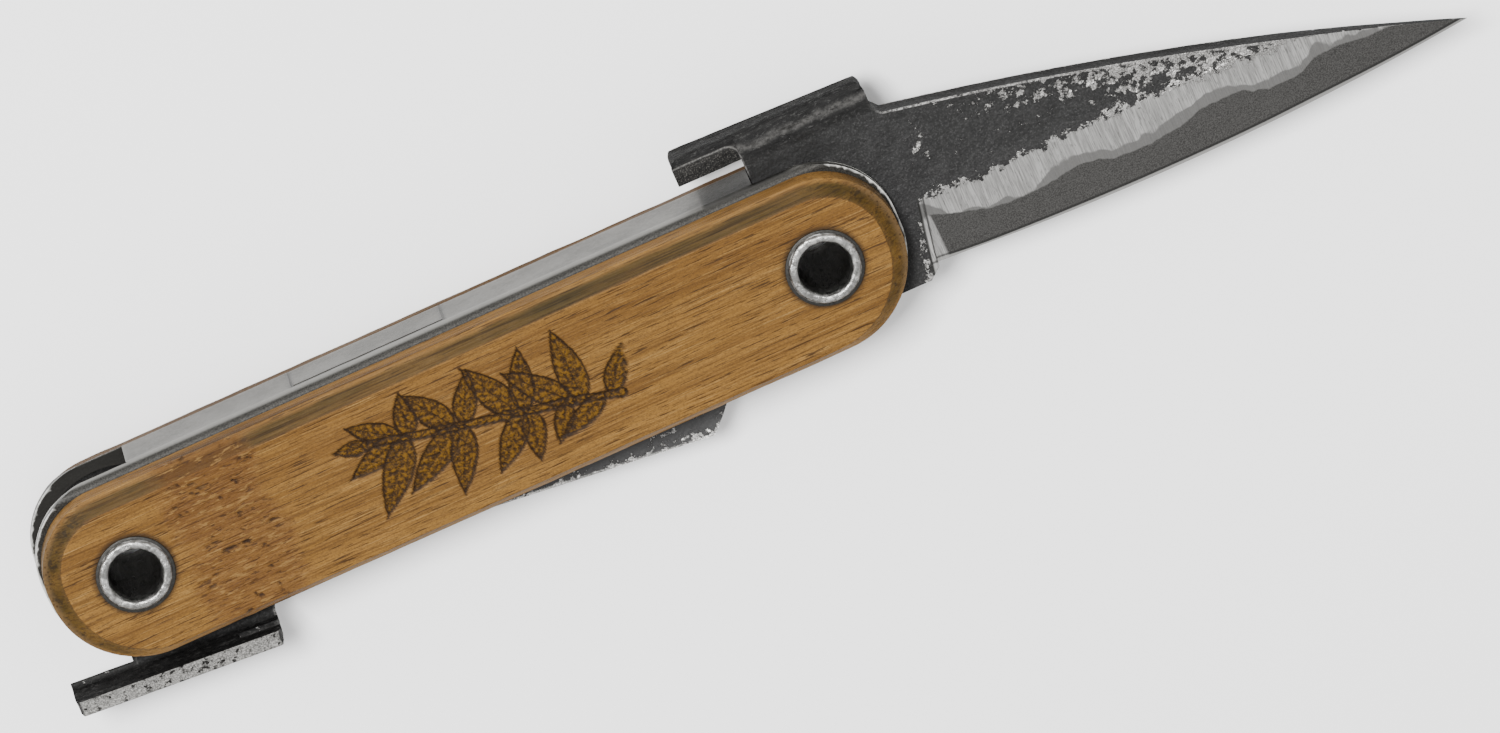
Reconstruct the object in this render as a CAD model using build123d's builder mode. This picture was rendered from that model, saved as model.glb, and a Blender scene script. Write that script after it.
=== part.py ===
from build123d import *
import os

# Two-blade friction whittling knife, nominally 4 in closed.
#
# Frame, in mm: the origin is the centre of the main pivot's bore, halfway through the handle.
# +X runs along the handle towards the open main blade's point, +Y towards the handle's spine
# and +Z out through the front bamboo scale. The main blade stands open on its stop. The detail
# blade lies folded in the rear bay, swung a few degrees out.

os.makedirs("parts", exist_ok=True)

# ---------------------------------------------------------------- driving dimensions
pivot_spacing = 81.6            # the detail pivot stands this far along -X
detail_rest_angle = 4.3         # how far the folded detail blade stands out, in degrees

scale_length = 100.5            # bamboo scales with round ends
scale_middle_x = -41.05
scale_width = 19.9
scale_middle_y = -0.2           # the scales sit slightly low on the walls
spine_corner_radius = 8.7       # their ends are fuller towards the spine
belly_corner_radius = 10.2      # than towards the belly
scale_thickness = 3.5
scale_bevel_depth = 1.0         # bevel round the show face
spine_bevel_width = 2.0         # wide towards the spine and round both ends
belly_bevel_width = 0.8         # and narrow along the belly

sheet = 1.0                     # folded steel channel
inner_bend_radius = 0.15        # inside of the two bends along the spine
belly_proud = 0.3               # the walls stand this far proud of the scales at ends and belly
spine_proud = 0.8               # and this far at the spine
main_web_end = -3.6             # where the spine web stops, beside each pivot
detail_web_end = 3.9            # measured from the detail pivot, towards the main one
stamp_length = 18.2             # shallow plain panel stamped in the spine
stamp_width = 5.5
stamp_middle_x = -48.95
stamp_middle_z = -0.65          # it runs out over the rear bend
stamp_groove = 0.25
stamp_depth = 0.08

main_stock = 2.4                # blade thicknesses
detail_stock = 2.2
side_clearance = 0.05           # on each face of a blade in its bay
divider_thickness = 0.6
divider_radius = 9.4

tube_bore_radius = 2.9          # hollow eyelets
tube_wall = 0.5
flange_radius = 4.05
flange_height = 0.5
lip_radius = 0.42               # rounding of the rolled flange
washer_radius = 4.35
washer_thickness = 0.25
spacer_radius = 5.5
blade_hole_clearance = 0.05

tang_radius = 9.2               # round end of each tang about its pivot
stop_gap = 0.1                  # play between a tang's rear edge and the web it stops on
lever_notch = 0.9               # front face of the overhang behind the tang
bend_inner_radius = 0.5         # inside of the bend from tang to lever
lever_corner = 0.8              # rounding of the lever's free corners and its notch
overhang_rounding = 0.9         # along the top of the overhang's front face
point_slot_end = 7.9            # slot in the detail lever that the main blade's point folds through
point_slot_width = 1.2

bevel_start = 12.6              # the ground bevels begin here, ahead of the pivot
full_bevel_shares = (0.2, 0.4, 0.62)  # along the main edge, up to where its bevel meets the spine
taper_shares = (0.8, 0.9, 1.0)        # and on to the point, the spine thinning with it
taper_start_share = 0.7
edge_thickness = 0.06
cutter_margin = 1.0

# ---------------------------------------------------------------- derived dimensions
main_bay = main_stock + 2 * side_clearance
detail_bay = detail_stock + 2 * side_clearance
inner_width = main_bay + divider_thickness + detail_bay
channel_width = inner_width + 2 * sheet
bend_radius = inner_bend_radius + sheet
half_channel = channel_width / 2
half_inner = inner_width / 2
divider_front = half_inner - main_bay
divider_back = -half_inner + detail_bay

spine_y = scale_middle_y + scale_width / 2 + spine_proud
belly_y = scale_middle_y - scale_width / 2 - belly_proud
wall_width = spine_y - belly_y
wall_middle_y = (spine_y + belly_y) / 2
wall_length = scale_length + 2 * belly_proud
divider_middle_x = -pivot_spacing / 2

show_face_length = scale_length - 2 * spine_bevel_width
show_face_width = scale_width - spine_bevel_width - belly_bevel_width
show_face_middle_y = scale_middle_y + (belly_bevel_width - spine_bevel_width) / 2

tube_radius = tube_bore_radius + tube_wall
wood_face = half_channel + scale_thickness
flange_seat = wood_face + washer_thickness

pivots = [(0, 0), (-pivot_spacing, 0)]

# Each blade is drawn in a frame of its own: the origin on its pivot axis, x along the blade,
# y towards its spine and z away from the divider plate. Both levers bend towards -z.
main_frame = Plane.XY
detail_frame = Plane(
    origin=(-pivot_spacing, 0, 0),
    x_dir=Vector(1, 0, 0).rotate(Axis.Z, -detail_rest_angle),
    z_dir=(0, 0, -1),
)


def round_ended(section, length, width, spine_radius, belly_radius):
    """A bar with large rounded corners, drawn in the given sketch."""
    Rectangle(length, width)
    fillet(section.vertices().group_by(Axis.Y)[-1], spine_radius)
    fillet(section.vertices().group_by(Axis.Y)[0], belly_radius)


def finish(piece, name):
    """Label a finished piece and write its STEP file."""
    piece.part.label = name
    export_step(piece.part, f"parts/{name}.step")
    print(f"{name}: {piece.part.volume:.1f} mm3")


# ---------------------------------------------------------------- handle channel
with BuildPart() as handle_channel:
    with BuildSketch(Plane.YZ.offset(scale_middle_x - wall_length / 2)) as outside_section:
        with Locations((wall_middle_y, 0)):
            Rectangle(wall_width, channel_width)
        fillet(outside_section.vertices().group_by(Axis.X)[-1], bend_radius)
    extrude(amount=wall_length)
    with BuildSketch(Plane.XY.offset(-half_channel)) as wall_outline:
        with Locations((scale_middle_x, wall_middle_y)):
            round_ended(wall_outline, wall_length, wall_width,
                        spine_corner_radius + belly_proud, belly_corner_radius + belly_proud)
    extrude(amount=channel_width, mode=Mode.INTERSECT)
    # the space between the walls, open along the belly and at both ends
    with BuildSketch(Plane.YZ.offset(scale_middle_x - wall_length / 2)) as inside_section:
        with Locations((wall_middle_y - sheet, 0)):
            Rectangle(wall_width, inner_width)
        fillet(inside_section.vertices().group_by(Axis.X)[-1], inner_bend_radius)
    extrude(amount=wall_length, mode=Mode.SUBTRACT)
    # the web is cut away at each end, where the tangs rise through it
    with BuildSketch(Plane.XY.offset(-half_inner)):
        with Locations((main_web_end, 0)):
            Rectangle(wall_length, wall_width, align=(Align.MIN, Align.MIN))
        with Locations((detail_web_end - pivot_spacing, 0)):
            Rectangle(wall_length, wall_width, align=(Align.MAX, Align.MIN))
    extrude(amount=inner_width, mode=Mode.SUBTRACT)
    with Locations(*pivots):
        Hole(tube_radius)
    # fine groove of the stamped panel
    with BuildSketch(Plane.ZX.offset(spine_y)):
        with Locations((stamp_middle_z, stamp_middle_x)):
            panel = Rectangle(stamp_width, stamp_length)
            offset(panel, -stamp_groove, kind=Kind.INTERSECTION, mode=Mode.SUBTRACT)
    extrude(amount=-stamp_depth, mode=Mode.SUBTRACT)
finish(handle_channel, "handle_channel")

# ---------------------------------------------------------------- divider plate
with BuildPart() as divider_plate:
    with BuildSketch(Plane.XY.offset(divider_back)):
        with Locations((divider_middle_x, 0)):
            SlotCenterToCenter(pivot_spacing, 2 * divider_radius)
    extrude(amount=divider_thickness)
    with Locations(*pivots):
        Hole(tube_radius)
finish(divider_plate, "divider_plate")


# ---------------------------------------------------------------- bamboo scales
def bamboo_scale(side):
    """A round-ended slab lying on one wall of the channel, bevelled round its show face."""
    with BuildPart() as scale:
        with BuildSketch(Plane.XY.offset(side * half_channel)) as seat:
            with Locations((scale_middle_x, scale_middle_y)):
                round_ended(seat, scale_length, scale_width, spine_corner_radius, belly_corner_radius)
        extrude(amount=side * (scale_thickness - scale_bevel_depth))
        with BuildSketch(Plane.XY.offset(side * (wood_face - scale_bevel_depth))) as bevel_foot:
            with Locations((scale_middle_x, scale_middle_y)):
                round_ended(bevel_foot, scale_length, scale_width, spine_corner_radius, belly_corner_radius)
        with BuildSketch(Plane.XY.offset(side * wood_face)) as show_face:
            with Locations((scale_middle_x, show_face_middle_y)):
                round_ended(show_face, show_face_length, show_face_width,
                            spine_corner_radius - spine_bevel_width, belly_corner_radius - belly_bevel_width)
        loft(ruled=True)
        with Locations(*pivots):
            Hole(tube_radius)
    return scale


for side, name in ((1, "front_scale"), (-1, "back_scale")):
    finish(bamboo_scale(side), name)


# ---------------------------------------------------------------- eyelets
def eyelet(pivot_x):
    """A hollow tube through the whole handle, with a rounded flange rolled out at each end."""
    with BuildPart() as tube:
        with BuildSketch(Plane.XZ) as section:
            with Locations((pivot_x + tube_bore_radius, 0)):
                Rectangle(tube_wall, 2 * flange_seat, align=(Align.MIN, Align.CENTER))
            for end in (1, -1):
                with Locations((pivot_x + tube_bore_radius, end * flange_seat)):
                    Rectangle(flange_radius - tube_bore_radius, flange_height,
                              align=(Align.MIN, Align.MIN if end > 0 else Align.MAX))
            rows = section.vertices().group_by(Axis.Y)
            fillet(rows[0] + rows[-1], lip_radius)
        revolve(axis=Axis((pivot_x, 0, 0), (0, 0, 1)))
    return tube


def ring(pivot_x, bottom, outer_radius, thickness):
    """A flat ring round an eyelet's tube."""
    with BuildPart() as washer:
        with BuildSketch(Plane.XY.offset(bottom)):
            with Locations((pivot_x, 0)):
                Circle(outer_radius)
                Circle(tube_radius, mode=Mode.SUBTRACT)
        extrude(amount=thickness)
    return washer


for pivot_x, name in ((0, "main"), (-pivot_spacing, "detail")):
    finish(eyelet(pivot_x), f"{name}_eyelet")
    finish(ring(pivot_x, wood_face, washer_radius, washer_thickness), f"{name}_front_washer")
    finish(ring(pivot_x, -flange_seat, washer_radius, washer_thickness), f"{name}_back_washer")

# each pivot's spacer fills the bay that the other blade folds into
finish(ring(0, -half_inner, spacer_radius, detail_bay), "main_pivot_spacer")
finish(ring(-pivot_spacing, divider_front, spacer_radius, main_bay), "detail_pivot_spacer")


# ---------------------------------------------------------------- blades
class Lever:
    """A blade's thumb lever: the tang's top edge bent over, in the blade's own frame."""

    def __init__(self, rear, front, top, rear_reach, front_reach, edge, slot_z=None):
        self.rear, self.front, self.top = rear, front, top          # its ends and its outer face
        self.rear_reach, self.front_reach = rear_reach, front_reach  # how far it reaches along -z
        self.edge = edge                                             # thickness at its free edge
        self.slot_z = slot_z                                         # middle of its point slot


def across(frame, x):
    """The plane across a blade at x, with the sketch's x towards the spine and its y along z."""
    return Plane(origin=frame.from_local_coords(Vector(x, 0, 0)), x_dir=frame.y_dir, z_dir=frame.x_dir)


def blade(frame, bottom, stock, rear_x, lever, front_curves, bevel_stations):
    """A forged blade with a round tang, whose top edge is bent over into a lever.

    front_curves runs from the heel under the tang to the shoulder in front of the lever.
    bevel_stations lists (x, y of the cutting edge, y and half thickness where the bevel ends).
    """
    top = bottom + stock
    bend_outer_radius = bend_inner_radius + stock
    bend_y = lever.top - bend_outer_radius
    bend_z = top - bend_outer_radius
    edge_inset = (stock - lever.edge) / 2
    heel, shoulder = front_curves[0] @ 0, front_curves[-1] @ 1
    rear_y = (tang_radius**2 - rear_x**2) ** 0.5
    belly_x = (tang_radius**2 - heel.Y**2) ** 0.5

    with BuildPart() as piece:
        # flat plate: round tang, blade and the root of the lever
        with BuildSketch(frame.offset(bottom)):
            with BuildLine():
                Line((lever.front, bend_y), (rear_x, bend_y))
                Line((rear_x, bend_y), (rear_x, rear_y))
                ThreePointArc((rear_x, rear_y), (-tang_radius, 0), (belly_x, heel.Y))
                Line((belly_x, heel.Y), heel)
                add(front_curves)
                Line(shoulder, (lever.front, bend_y))
            make_face()
        extrude(amount=stock)

        # lever: the plate's top edge bent over, running on past the tang's rear edge
        for x, reach in ((lever.rear, lever.rear_reach), (lever.front, lever.front_reach)):
            with BuildSketch(across(frame, x)):
                with BuildLine():
                    outer = CenterArc((bend_y, bend_z), bend_outer_radius, 90, -90)
                    inner = CenterArc((bend_y, bend_z), bend_inner_radius, 0, 90)
                    Polyline(outer @ 1, (lever.top - edge_inset, -reach),
                             (lever.top - stock + edge_inset, -reach), inner @ 0)
                    Line(inner @ 1, outer @ 0)
                make_face()
        loft(ruled=True)
        with BuildSketch(frame.offset(lever_notch)):
            with Locations((rear_x, bend_y)):
                Rectangle(rear_x - lever.rear, 2 * bend_outer_radius, align=(Align.MAX, Align.MIN))
        extrude(amount=stock, mode=Mode.SUBTRACT)
        if lever.slot_z is not None:
            with BuildSketch(frame.offset(lever.slot_z - point_slot_width / 2)):
                with Locations((point_slot_end, lever.top)):
                    Rectangle(lever.front, 2 * stock, align=(Align.MIN, Align.CENTER))
            extrude(amount=point_slot_width, mode=Mode.SUBTRACT)
        free_corners = piece.edges().filter_by(Axis(frame.origin, frame.y_dir))
        fillet(free_corners.sort_by(Axis(frame.origin, frame.z_dir))[:2], lever_corner)
        overhang_face = piece.faces().filter_by(frame).sort_by_distance(
            frame.from_local_coords(Vector(lever.rear, lever.top, lever_notch)))[0]
        along = overhang_face.edges().filter_by(Axis(frame.origin, frame.x_dir))
        fillet(along.sort_by(Axis(frame.origin, frame.y_dir))[-1], overhang_rounding)

        # ground bevels, one on each face
        middle = bottom + stock / 2
        for face in (1, -1):
            for x, edge_y, bevel_y, half_thickness in bevel_stations:
                slope = (half_thickness - edge_thickness / 2) / (bevel_y - edge_y)
                cutter_top = half_thickness + slope * cutter_margin
                with BuildSketch(across(frame, x)):
                    with BuildLine():
                        Polyline(
                            (edge_y, middle + face * edge_thickness / 2),
                            (bevel_y + cutter_margin, middle + face * cutter_top),
                            (bevel_y + cutter_margin, middle + face * stock),
                            (edge_y - cutter_margin, middle + face * stock),
                            (edge_y - cutter_margin, middle + face * edge_thickness / 2),
                            close=True,
                        )
                    make_face()
            loft(ruled=True, mode=Mode.SUBTRACT)

        with BuildSketch(frame.offset(bottom)):
            Circle(tube_radius + blade_hole_clearance)
        extrude(amount=stock, mode=Mode.SUBTRACT)
    return piece


# main blade: long and nearly straight-edged, the spine falling in one shallow curve to the point
main_heel, main_choil, main_point = (10.6, -8.05), (12.7, -6.8), (74.7, -5.88)
main_edge = ThreePointArc(main_choil, (40.0, -7.9), main_point)
main_spine = ThreePointArc(main_point, (47.0, 3.5), (12.4, 12.05))
main_bottom = divider_front + side_clearance
main_bevel_y = 0.9
main_stations = [(bevel_start, main_choil[1], main_bevel_y, main_stock / 2)]
for share in full_bevel_shares:
    main_stations.append(((main_edge @ share).X, (main_edge @ share).Y, main_bevel_y, main_stock / 2))
for share in taper_shares:
    spine_point = main_spine @ (1 - share)
    edge_y = min((main_edge @ share).Y, spine_point.Y - edge_thickness)
    half_thickness = edge_thickness + (1 - share) / (1 - taper_start_share) * main_stock / 2
    main_stations.append((spine_point.X, edge_y, spine_point.Y, half_thickness))
main_blade = blade(
    main_frame, main_bottom, main_stock, main_web_end + stop_gap,
    Lever(rear=-10.9, front=11.6, top=15.9, rear_reach=3.5, front_reach=1.5, edge=2.1),
    [Line(main_heel, main_choil), main_edge, main_spine], main_stations,
)
finish(main_blade, "main_blade")

# detail blade: straight edge and a blunt nose that slopes down to it
detail_heel, detail_choil, detail_point = (10.6, -7.2), (12.7, -6.0), (70.5, -4.6)
detail_corner, detail_shoulder = (64.1, 10.6), (13.4, 8.7)
detail_bevel_y = 1.5
detail_blade = blade(
    detail_frame, -divider_back + side_clearance, detail_stock, -detail_web_end + stop_gap,
    Lever(rear=-11.1, front=12.6, top=15.1, rear_reach=3.7, front_reach=3.7, edge=1.7,
          slot_z=-main_bottom - main_stock / 2),
    [
        Line(detail_heel, detail_choil),
        Line(detail_choil, detail_point),
        ThreePointArc(detail_point, (68.8, 3.4), detail_corner),
        Line(detail_corner, detail_shoulder),
    ],
    [(x, y, detail_bevel_y, detail_stock / 2)
     for x, y in ((bevel_start, detail_choil[1]), (detail_point[0] + cutter_margin, detail_point[1]))],
)
finish(detail_blade, "detail_blade")
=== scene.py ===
import math

import bmesh
import bpy
import numpy as np
from mathutils import Matrix, Vector, noise
from mathutils.kdtree import KDTree


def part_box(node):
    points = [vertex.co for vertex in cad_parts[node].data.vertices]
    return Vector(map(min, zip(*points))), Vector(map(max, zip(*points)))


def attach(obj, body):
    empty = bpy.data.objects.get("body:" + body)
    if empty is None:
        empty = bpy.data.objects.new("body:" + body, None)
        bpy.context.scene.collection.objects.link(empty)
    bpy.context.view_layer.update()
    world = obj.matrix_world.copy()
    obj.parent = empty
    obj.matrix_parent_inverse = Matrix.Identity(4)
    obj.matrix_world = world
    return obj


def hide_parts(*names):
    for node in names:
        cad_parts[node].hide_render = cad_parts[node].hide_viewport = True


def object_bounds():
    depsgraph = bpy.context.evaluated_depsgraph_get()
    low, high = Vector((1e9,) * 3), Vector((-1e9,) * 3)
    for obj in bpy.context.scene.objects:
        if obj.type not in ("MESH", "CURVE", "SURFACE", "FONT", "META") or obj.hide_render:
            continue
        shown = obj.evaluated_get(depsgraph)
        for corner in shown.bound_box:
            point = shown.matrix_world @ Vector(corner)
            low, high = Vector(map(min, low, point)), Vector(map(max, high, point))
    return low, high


# The look of the whittling knife. Lengths in this script are millimetres in the row frame and
# become metres when a mesh is made: +X towards the open blade's point, +Y towards the handle's
# spine, +Z out through the front bamboo scale.
MM = 0.001

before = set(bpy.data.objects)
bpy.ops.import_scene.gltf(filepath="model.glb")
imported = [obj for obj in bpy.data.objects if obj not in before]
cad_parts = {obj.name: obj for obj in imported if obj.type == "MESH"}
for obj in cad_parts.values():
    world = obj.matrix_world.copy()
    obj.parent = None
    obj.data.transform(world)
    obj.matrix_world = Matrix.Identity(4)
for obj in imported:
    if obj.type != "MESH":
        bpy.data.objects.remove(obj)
cad_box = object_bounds()

# x of each pivot and of the handle's middle
PIVOTS = {name: sum(c.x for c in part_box(f"{name}_eyelet")) / 2 / MM for name in ("main", "detail")}
HANDLE_MIDDLE = sum(c.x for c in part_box("front_scale")) / 2 / MM
DETAIL_REST_ANGLE = math.radians(4.3)
BORE_RADIUS = 2.9
TUBE_RADIUS = 3.4
WALL_FACE = 3.7  # |z| of the walls' outer faces
SHOW_FACE = 7.2  # |z| of the scales' show faces
LAND_TOP = 6.2  # |z| where the scales' bevels begin
SPINE = 10.55  # y of the channel's web
ACROSS, UPWARD = Vector((0, 0, 1)), Vector((0, 1, 0))


# ---------- node materials
class Look:
    """A node material whose pattern lies in the piece's own frame, in millimetres.

    A share runs from 0 to 1 and says how strongly a pattern applies.
    """

    def __init__(self, name, own_frame=None):
        self.material = bpy.data.materials.new(name)
        self.material.use_nodes = True
        self.tree = self.material.node_tree
        self.tree.nodes.clear()
        self.shader = self.node("BsdfPrincipled")
        output = self.node("OutputMaterial")
        self.tree.links.new(self.shader.outputs["BSDF"], output.inputs["Surface"])
        self.place = self.vector("MULTIPLY", self.node("TexCoord").outputs["Object"], (1 / MM,) * 3)
        if own_frame is not None:
            moved = self.vector("SUBTRACT", self.place, own_frame.translation)
            along = [self.dot(moved, own_frame.col[i].xyz) for i in range(3)]
            self.place = self.node("CombineXYZ", dict(enumerate(along))).outputs[0]
        self.x, self.y, self.z = self.node("SeparateXYZ", {0: self.place}).outputs

    def node(self, kind, inputs=None, **settings):
        node = self.tree.nodes.new("ShaderNode" + kind)
        for key, value in settings.items():
            setattr(node, key, value)
        for key, value in (inputs or {}).items():
            self.put(node.inputs[key], value)
        return node

    def put(self, socket, value):
        if isinstance(value, bpy.types.NodeSocket):
            self.tree.links.new(value, socket)
        elif socket.type == "RGBA":
            socket.default_value = (*value, 1.0)
        else:
            socket.default_value = value

    def vector(self, operation, a, b):
        return self.node("VectorMath", {0: a, 1: b}, operation=operation).outputs[0]

    def dot(self, a, b):
        return self.node("VectorMath", {0: a, 1: b}, operation="DOT_PRODUCT").outputs["Value"]

    def math(self, operation, a, b=0.0):
        return self.node("Math", {0: a, 1: b}, operation=operation).outputs[0]

    def times(self, first, *others):
        for other in others:
            first = self.math("MULTIPLY", first, other)
        return first

    def plus(self, first, *others):
        for other in others:
            first = self.math("ADD", first, other)
        return first

    def minus(self, a, b):
        return self.math("SUBTRACT", a, b)

    def larger(self, first, *others):
        for other in others:
            first = self.math("MAXIMUM", first, other)
        return first

    def size(self, value):
        return self.math("ABSOLUTE", value)

    def length(self, a, b):
        """Length of the hypotenuse."""
        return self.math("SQRT", self.plus(self.times(a, a), self.times(b, b)))

    def step(self, value, low, high):
        """0 below low, 1 above high, smooth between."""
        return self.node("MapRange", {"Value": value, "From Min": low, "From Max": high},
                         interpolation_type="SMOOTHSTEP").outputs[0]

    def inverse(self, share):
        return self.math("SUBTRACT", 1.0, share)

    def fade(self, value, low, high):
        """1 below low, 0 above high, smooth between."""
        return self.inverse(self.step(value, low, high))

    def span(self, value, low, high, to_low, to_high):
        return self.node("MapRange", {"Value": value, "From Min": low, "From Max": high,
                                      "To Min": to_low, "To Max": to_high}).outputs[0]

    def noise(self, per_mm, detail=3.0, roughness=0.55, shift=0.0):
        """Noise with so many features per millimetre, the same number each way or one for x, y and z."""
        each_way = per_mm if isinstance(per_mm, tuple) else (per_mm,) * 3
        stretched = self.vector("MULTIPLY", self.place, each_way)
        moved = self.vector("ADD", stretched, (shift, shift, shift))
        return self.node("TexNoise", {"Vector": moved, "Scale": 1.0, "Detail": detail,
                                      "Roughness": roughness}).outputs[0]

    def pits(self, per_mm):
        """Distance to the nearest of scattered points, in cells."""
        stretched = self.vector("MULTIPLY", self.place, (per_mm,) * 3)
        return self.node("TexVoronoi", {"Vector": stretched, "Scale": 1.0}).outputs["Distance"]

    def mix(self, share, a, b):
        return self.node("Mix", {0: share, 6: a, 7: b}, data_type="RGBA").outputs[2]

    def coat(self, colour, strength, share, other):
        """Lay another colour over this one."""
        return self.mix(self.times(share, strength), colour, other)

    def blend(self, share, a, b):
        return self.node("Mix", {0: share, 2: a, 3: b}, data_type="FLOAT").outputs[0]

    def line(self, value, points):
        """A smooth curve through (value, result) points, both in millimetres."""
        low, high = points[0][0], points[-1][0]
        bottom = min(p[1] for p in points)
        reach = max(p[1] for p in points) - bottom
        node = self.node("FloatCurve", {"Value": self.span(value, low, high, 0.0, 1.0)})
        curve = node.mapping.curves[0]
        while len(curve.points) < len(points):
            curve.points.new(0.5, 0.5)
        for point, (at, result) in zip(curve.points, points):
            point.location = ((at - low) / (high - low), (result - bottom) / reach)
        node.mapping.update()
        return self.span(node.outputs[0], 0.0, 1.0, bottom, bottom + reach)

    def facing(self, direction):
        """Cosine of the angle between the surface's normal and a direction."""
        return self.dot(self.node("TexCoord").outputs["Normal"], direction)

    def painted(self, name):
        """A per-vertex share stored on the mesh."""
        return self.node("Attribute", attribute_name=name).outputs["Fac"]

    def bump(self, height, depth):
        return self.node("Bump", {"Height": height, "Distance": depth * MM, "Strength": 1.0}).outputs[0]

    def finish(self, **sockets):
        for name, value in sockets.items():
            self.put(self.shader.inputs[name.replace("_", " ")], value)
        return self.material


# forge scale and the silver that shows where it has flaked off
FORGE_BLACK, FORGE_GREY = (0.0072, 0.0071, 0.0069), (0.0108, 0.0106, 0.0104)
FORGE_DUST, FORGE_GRAIN = (0.026, 0.0255, 0.025), (0.04, 0.0395, 0.039)
# the second colour here is painted shade in rings round the silver flecks
FORGE_HOLLOW, FLECK_SHADE = (0.0025, 0.0024, 0.0024), (0.002, 0.002, 0.002)
# grey of thin scale, partly painted light lifting the detail blade's shaded strip
FORGE_THIN_AND_LIT = (0.046, 0.0455, 0.0455)
SILVER_DULL, SILVER_BRIGHT = (0.13, 0.127, 0.122), (0.46, 0.45, 0.435)
# the lever, its sheared edge and the face of its overhang; the crest highlight and the glints on hammer
# marks are painted light, the gap under the lever and the overhang's face painted shade, and the notch's
# rim a painted highlight
DRAGGED_DARK, DRAGGED_LIGHT = (0.0028, 0.0027, 0.0026), (0.0115, 0.0112, 0.0108)
HAMMERED_GLINT, CREST_HIGHLIGHT = (0.056, 0.055, 0.053), (0.062, 0.06, 0.057)
LEVER_GAP_SHADE = (0.0022, 0.0021, 0.002)
SHEARED_DULL, SHEARED_BRIGHT = (0.1, 0.098, 0.093), (0.3, 0.295, 0.28)
SHEARED_GNAWED = (0.014, 0.0135, 0.013)
RECESS_SHADE, RECESS_LIGHT = (0.0035, 0.0033, 0.0031), (0.06, 0.057, 0.052)
NOTCH_RIM_HIGHLIGHT = (0.15, 0.147, 0.14)
# the ground cladding, the core steel and the lines between them
CLAD_GREY, CLAD_BRIGHT = (0.29, 0.286, 0.277), (0.55, 0.543, 0.526)
CLAD_STREAK, CLAD_TICK = (0.25, 0.246, 0.238), (0.12, 0.118, 0.114)
BAND_DARK, BAND_LIGHT = (0.13, 0.128, 0.124), (0.2, 0.197, 0.19)
CORE_DARK, CORE_LIGHT = (0.048, 0.047, 0.045), (0.108, 0.105, 0.101)
CORE_CLOUD = (0.088, 0.086, 0.083)
PLUNGE_LINE, PLUNGE_GROOVE = (0.04, 0.039, 0.037), (0.012, 0.012, 0.011)
# the keen colour is the honed edge's bright steel with a painted highlight
BURR_DARK, KEEN_HIGHLIGHT = (0.025, 0.025, 0.024), (0.42, 0.415, 0.4)

RAGGED_HEIGHT = 4.8  # of the grinding's ragged upper limit
LAMINATION_WANDER = 0.8
BAND_WAVE = 4.6  # how far the dull band above the core comes and goes
WEAR_RUN = 14.0  # length over which the spine's wear sets in
SCAB_MIDDLE = (14.6, 7.4)  # a flaked patch on the tang
# how much more flakes off at each place, in units of the flaking noise
WORN_EDGES, WORN_BY_PLUNGE, WORN_BY_GROUND, WORN_SCAB = 0.1, 0.19, 0.17, 0.115
SPARED_HEEL = 0.035
PLUNGE_LINE_AT = 0.62  # a dark line this far ahead of the plunge
CREST_ABOVE_ROOT = 1.3
# the rounding's rim carries a painted highlight
NOTCH_ROUNDING = 1.4  # of the bright rim above the notch behind the tang


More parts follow.
